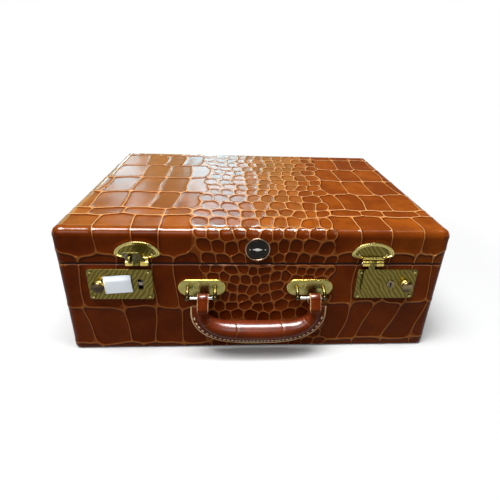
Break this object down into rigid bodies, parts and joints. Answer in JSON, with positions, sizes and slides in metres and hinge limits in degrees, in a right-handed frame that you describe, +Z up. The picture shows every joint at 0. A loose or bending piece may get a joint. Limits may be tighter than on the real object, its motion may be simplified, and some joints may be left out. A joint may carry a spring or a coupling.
{
  "type": "vanity case",
  "caption": "Embossed leather vanity case with a hinged lid, spring hasp locks with slide knobs, a padded swing handle and a mirror inside the lid.",
  "frame": {"origin": "under the middle of the case body, on the surface that it stands on", "axes": "+X to the right as seen from the front, +Y to the back, where the lid hinges are, +Z up"},
  "size_m": [0.406, 0.3385, 0.15],
  "materials": {
    "hide": "glossy embossed, chestnut brown with tan grooves",
    "board": "raw board",
    "lining": "woven, matte",
    "thread": "waxed sewing thread",
    "paper": "blank paper, matte",
    "aged_brass": "aged, engine-turned stripes",
    "bright_brass": "satin",
    "worn_nickel": "worn plating",
    "steel": "satin",
    "mirror": "silvered glass",
    "gilt": "worn gilt",
    "enamel": "glossy black",
    "core": "pressed fibre"
  },
  "bodies": {
    "base": {"base_covering": "hide", "base_board": "board", "base_lining": "lining", "left_hinge_base_leaf": "aged_brass", "right_hinge_base_leaf": "aged_brass", "left_hinge_pin": "steel", "right_hinge_pin": "steel", "left_lock_plate": "aged_brass", "right_lock_plate": "aged_brass", "left_lock_case": "steel", "right_lock_case": "steel", "left_bolt_spring": "steel", "right_bolt_spring": "steel", "left_lock_rivet_1": "aged_brass", "left_lock_rivet_2": "aged_brass", "left_lock_rivet_3": "aged_brass", "left_lock_rivet_4": "aged_brass", "right_lock_rivet_1": "aged_brass", "right_lock_rivet_2": "aged_brass", "right_lock_rivet_3": "aged_brass", "right_lock_rivet_4": "aged_brass", "left_handle_mount": "bright_brass", "right_handle_mount": "bright_brass", "left_handle_pin": "steel", "right_handle_pin": "steel"},
    "lid": {"lid_covering": "hide", "lid_board": "board", "lid_lining": "lining", "lid_mirror": "mirror", "mirror_frame": "lining", "left_hinge_lid_leaf": "aged_brass", "right_hinge_lid_leaf": "aged_brass", "left_hasp_plate": "aged_brass", "right_hasp_plate": "aged_brass", "left_hasp_rivet_1": "aged_brass", "left_hasp_rivet_2": "aged_brass", "right_hasp_rivet_1": "aged_brass", "right_hasp_rivet_2": "aged_brass", "left_hasp_pin": "steel", "right_hasp_pin": "steel", "left_hasp_spring": "steel", "right_hasp_spring": "steel", "badge_ring": "gilt", "badge_disc": "enamel"},
    "left_hasp": {"left_hasp": "aged_brass", "left_hasp_staple": "steel"},
    "right_hasp": {"right_hasp": "aged_brass", "right_hasp_staple": "steel"},
    "left_slide": {"left_slide_bolt": "steel", "left_slide_knob": "worn_nickel"},
    "right_slide": {"right_slide_bolt": "steel", "right_slide_knob": "worn_nickel"},
    "left_plug": {"left_key_plug": "worn_nickel"},
    "right_plug": {"right_key_plug": "worn_nickel"},
    "handle": {"handle_cover": "hide", "handle_core": "core", "left_handle_strap": "hide", "right_handle_strap": "hide"}
  },
  "joints": [
    {"name": "lid_hinge", "type": "hinge", "parent": "base", "child": "lid", "pos_m": [0, 0.1535, 0.1102], "axis": [-1, 0, 0], "range_deg": [0, 100]},
    {"name": "left_hasp_hinge", "type": "hinge", "parent": "lid", "child": "left_hasp", "pos_m": [-0.1205, -0.1542, 0.1144], "axis": [-1, 0, 0], "range_deg": [-136, 0], "stiffness_Nm_per_rad": 0.006, "springref_deg": 85.94},
    {"name": "right_hasp_hinge", "type": "hinge", "parent": "lid", "child": "right_hasp", "pos_m": [0.1205, -0.1542, 0.1144], "axis": [-1, 0, 0], "range_deg": [0, 136]},
    {"name": "left_knob_slide", "type": "slide", "parent": "base", "child": "left_slide", "axis": [-1, 0, 0], "range_m": [0, 0.0055], "stiffness_N_per_m": 250, "springref_m": -0.004, "deforming": ["left_bolt_spring"]},
    {"name": "right_knob_slide", "type": "slide", "parent": "base", "child": "right_slide", "axis": [1, 0, 0], "range_m": [0, 0.0055], "stiffness_N_per_m": 250, "springref_m": -0.004, "deforming": ["right_bolt_spring"]},
    {"name": "left_key_turn", "type": "hinge", "parent": "base", "child": "left_plug", "pos_m": [-0.146, -0.15, 0.0868], "axis": [0, -1, 0], "range_deg": [0, 90]},
    {"name": "right_key_turn", "type": "hinge", "parent": "base", "child": "right_plug", "pos_m": [0.146, -0.15, 0.0868], "axis": [0, -1, 0], "range_deg": [-90, 0]},
    {"name": "handle_swing", "type": "hinge", "parent": "base", "child": "handle", "pos_m": [0, -0.163, 0.0776], "axis": [-1, 0, 0], "range_deg": [-2, 165]}
  ]
}
